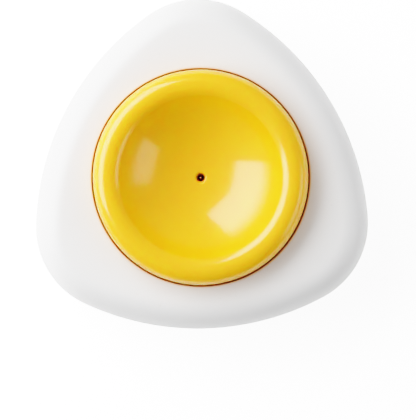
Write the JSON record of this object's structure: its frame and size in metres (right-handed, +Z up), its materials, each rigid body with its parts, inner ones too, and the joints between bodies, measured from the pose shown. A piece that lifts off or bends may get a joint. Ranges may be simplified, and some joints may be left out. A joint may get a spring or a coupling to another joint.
{
  "type": "egg piercer",
  "caption": "Press-down egg piercer: rounded three-cornered housing with a sprung round cup over a fixed needle, and a flat magnet in the base.",
  "frame": {"origin": "middle of the underside, on the cup's axis, at the face of the magnet", "axes": "+Z up along the cup's axis, +Y towards one rounded corner of the housing"},
  "size_m": [0.0682, 0.0677, 0.022],
  "materials": {
    "white_plastic": "fine satin moulding",
    "yellow_plastic": "polished moulding",
    "needle_steel": "ground stainless steel",
    "spring_steel": "drawn spring wire",
    "holder_brass": "turned brass",
    "screw_steel": "zinc plated steel",
    "adhesive_pad": "thin foam tape",
    "magnet_ferrite": "dull sintered ferrite with grey dust"
  },
  "bodies": {
    "housing": {"top_shell": "white_plastic", "base_plate": "white_plastic", "needle_holder": "holder_brass", "needle": "needle_steel", "return_spring": "spring_steel", "housing_screws": "screw_steel", "magnet_tape": "adhesive_pad", "magnet_disc": "magnet_ferrite"},
    "cup": {"egg_cup": "yellow_plastic"}
  },
  "joints": [
    {"name": "cup_press", "type": "slide", "parent": "housing", "child": "cup", "axis": [0, 0, -1], "range_m": [0, 0.0045], "stiffness_N_per_m": 600, "springref_m": -0.004, "deforming": ["return_spring"]}
  ]
}
